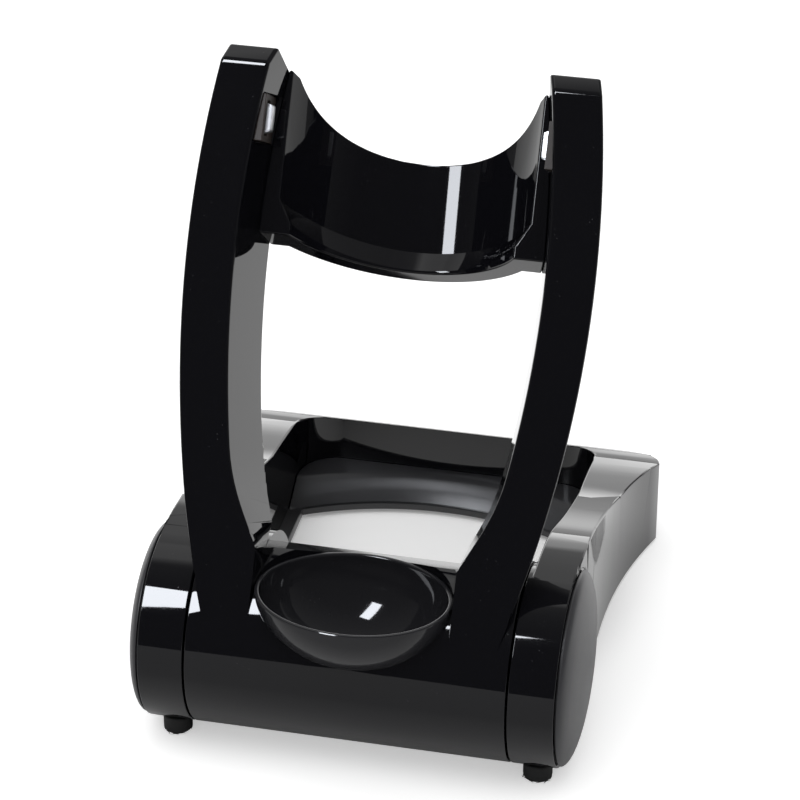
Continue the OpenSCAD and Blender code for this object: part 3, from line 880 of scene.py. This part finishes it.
class STAND_OT_contacts(bpy.types.Operator):
    """Spring contacts: holders, pressed metal noses and coil springs"""

    bl_idname = "stand.contacts"
    bl_label = "Contacts"

    def execute(self, context):
        for side in ("left", "right"):
            obj = moulded(side + "_contact_holder", 0.15 * MM, edges_over(60.0, 0.2 * MM))
            settle(obj, side + "_contact_holder_brown", "yoke", "holder_brown", "Holder plastic")
        self.noses()
        self.coils()
        return {"FINISHED"}

    def noses(self):
        """A metal nose that stands out through each holder's slot, on the plate that the spring presses."""
        low, high = upright_box("right_contact")
        mid_y, mid_z = (low.y + high.y) / 2, (low.z + high.z) / 2
        wide, tall = high.y - low.y, high.z - low.z
        sheet, plate = 0.36 * MM, 0.4 * MM
        slot_half, slot_wide, shoulder = 3.4 * MM, 2.5 * MM, 0.9 * MM
        # the crest is bowed by this share of its height
        bow = 0.04
        foot = high.x - plate - sheet / 2
        reach = (foot - low.x - sheet / 2) / (1 + bow)
        deselect()
        bpy.ops.mesh.primitive_grid_add(x_subdivisions=40, y_subdivisions=2, size=1.0)
        strip = bpy.context.object
        for vertex in strip.data.vertices:
            along, across = vertex.co.x * tall, vertex.co.y
            in_slot = abs(along) < slot_half
            up = min(1.0, max(0.0, (slot_half - abs(along)) / shoulder))
            crest = up * up * (3 - 2 * up) + bow * (1 - (along / slot_half) ** 2) * in_slot
            width = slot_wide if in_slot else wide
            vertex.co = (foot - reach * crest, mid_y + across * width, mid_z + along)
        thick = strip.modifiers.new("thickness", "SOLIDIFY")
        thick.thickness = sheet
        thick.offset = 0.0
        count = len(strip.data.vertices)
        apply_modifiers(strip)
        # the side towards the spring is flat
        for first, second in zip(strip.data.vertices[:count], strip.data.vertices[count:]):
            max(first, second, key=lambda vertex: vertex.co.x).co.x = foot
        self.soften(strip, 0.1 * MM, 50)
        deselect()
        bpy.ops.mesh.primitive_cube_add(
            size=1.0, location=(high.x - plate / 2, mid_y, mid_z), scale=(plate, wide, tall)
        )
        back = bpy.context.object
        bpy.ops.object.transform_apply(location=True, rotation=True, scale=True)
        self.soften(back, 0.12 * MM, 30)
        only(strip)
        back.select_set(True)
        bpy.ops.object.join()
        bpy.ops.object.shade_smooth_by_angle(angle=math.radians(35))
        strip.data.transform(LEANED)
        for side, obj in (("left", mirrored(strip, "left_contact_leaf")), ("right", strip)):
            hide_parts(side + "_contact")
            settle(obj, side + "_contact_leaf", side + "_contact", "contact_metal", "Nickel")

    def soften(self, obj, width, least):
        """Rounds the edges that turn by more than an angle, in degrees."""
        edges = obj.modifiers.new("edges", "BEVEL")
        edges.width = width
        edges.segments = 2
        edges.angle_limit = math.radians(least)
        apply_modifiers(obj)

    def coils(self):
        """A coil spring behind each contact."""
        low, high = upright_box("right_contact_spring")
        wire, turns = 0.25 * MM, 4
        deselect()
        bpy.ops.mesh.primitive_circle_add(
            vertices=12, radius=wire, location=(0.0, (high.y - low.y) / 2 - wire, 0.0)
        )
        coil = bpy.context.object
        bpy.ops.object.transform_apply(location=True, rotation=True, scale=True)
        wind = coil.modifiers.new("winding", "SCREW")
        wind.axis = "X"
        wind.iterations = turns
        wind.steps = wind.render_steps = 24
        wind.screw_offset = (high.x - low.x - 2 * wire) / turns
        apply_modifiers(coil)
        skin = bmesh.new()
        skin.from_mesh(coil.data)
        bmesh.ops.holes_fill(skin, edges=[edge for edge in skin.edges if edge.is_boundary])
        bmesh.ops.recalc_face_normals(skin, faces=skin.faces)
        skin.to_mesh(coil.data)
        skin.free()
        only(coil)
        bpy.ops.object.shade_smooth_by_angle(angle=math.radians(40))
        coil.data.transform(
            LEANED @ Matrix.Translation((low.x + wire, (low.y + high.y) / 2, (low.z + high.z) / 2))
        )
        for side, obj in (("left", mirrored(coil, "left_contact_coil")), ("right", coil)):
            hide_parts(side + "_contact_spring")
            settle(obj, side + "_contact_coil", "yoke", "steel", "Zinc steel")
            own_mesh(obj)


class STAND_PT_panel(bpy.types.Panel):
    """Sidebar panel with the stand's steps"""

    bl_idname = "STAND_PT_panel"
    bl_label = "Charging stand"
    bl_space_type = "VIEW_3D"
    bl_region_type = "UI"
    bl_category = "Stand"

    def draw(self, context):
        for step in STEPS:
            self.layout.operator(step.bl_idname)
        for group in (context.scene.stand_sizes, context.scene.stand_colours):
            for name in group.__annotations__:
                self.layout.prop(group, name)


STEPS = (
    STAND_OT_base_shell, STAND_OT_end_caps, STAND_OT_pan, STAND_OT_feet, STAND_OT_inlet, STAND_OT_hinge,
    STAND_OT_arms, STAND_OT_covers, STAND_OT_band, STAND_OT_cup, STAND_OT_contacts, STAND_OT_studio,
)
CLASSES = (StandSizes, StandColours, *STEPS, STAND_PT_panel)


def register():
    for item in CLASSES:
        bpy.utils.register_class(item)
    bpy.types.Scene.stand_sizes = PointerProperty(type=StandSizes)
    bpy.types.Scene.stand_colours = PointerProperty(type=StandColours)


def unregister():
    del bpy.types.Scene.stand_colours
    del bpy.types.Scene.stand_sizes
    for item in reversed(CLASSES):
        bpy.utils.unregister_class(item)


def main():
    register()
    bpy.ops.stand.base_shell()
    bpy.ops.stand.end_caps()
    bpy.ops.stand.pan()
    bpy.ops.stand.feet()
    bpy.ops.stand.inlet()
    bpy.ops.stand.hinge()
    bpy.ops.stand.arms()
    bpy.ops.stand.covers()
    bpy.ops.stand.band()
    bpy.ops.stand.cup()
    bpy.ops.stand.contacts()
    bpy.ops.stand.studio()
    boxes = {"cad": CAD_BOX, "visual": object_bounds()}
    {name: [list(corner) for corner in box] for name, box in boxes.items()}


if __name__ == "__main__":
    main()
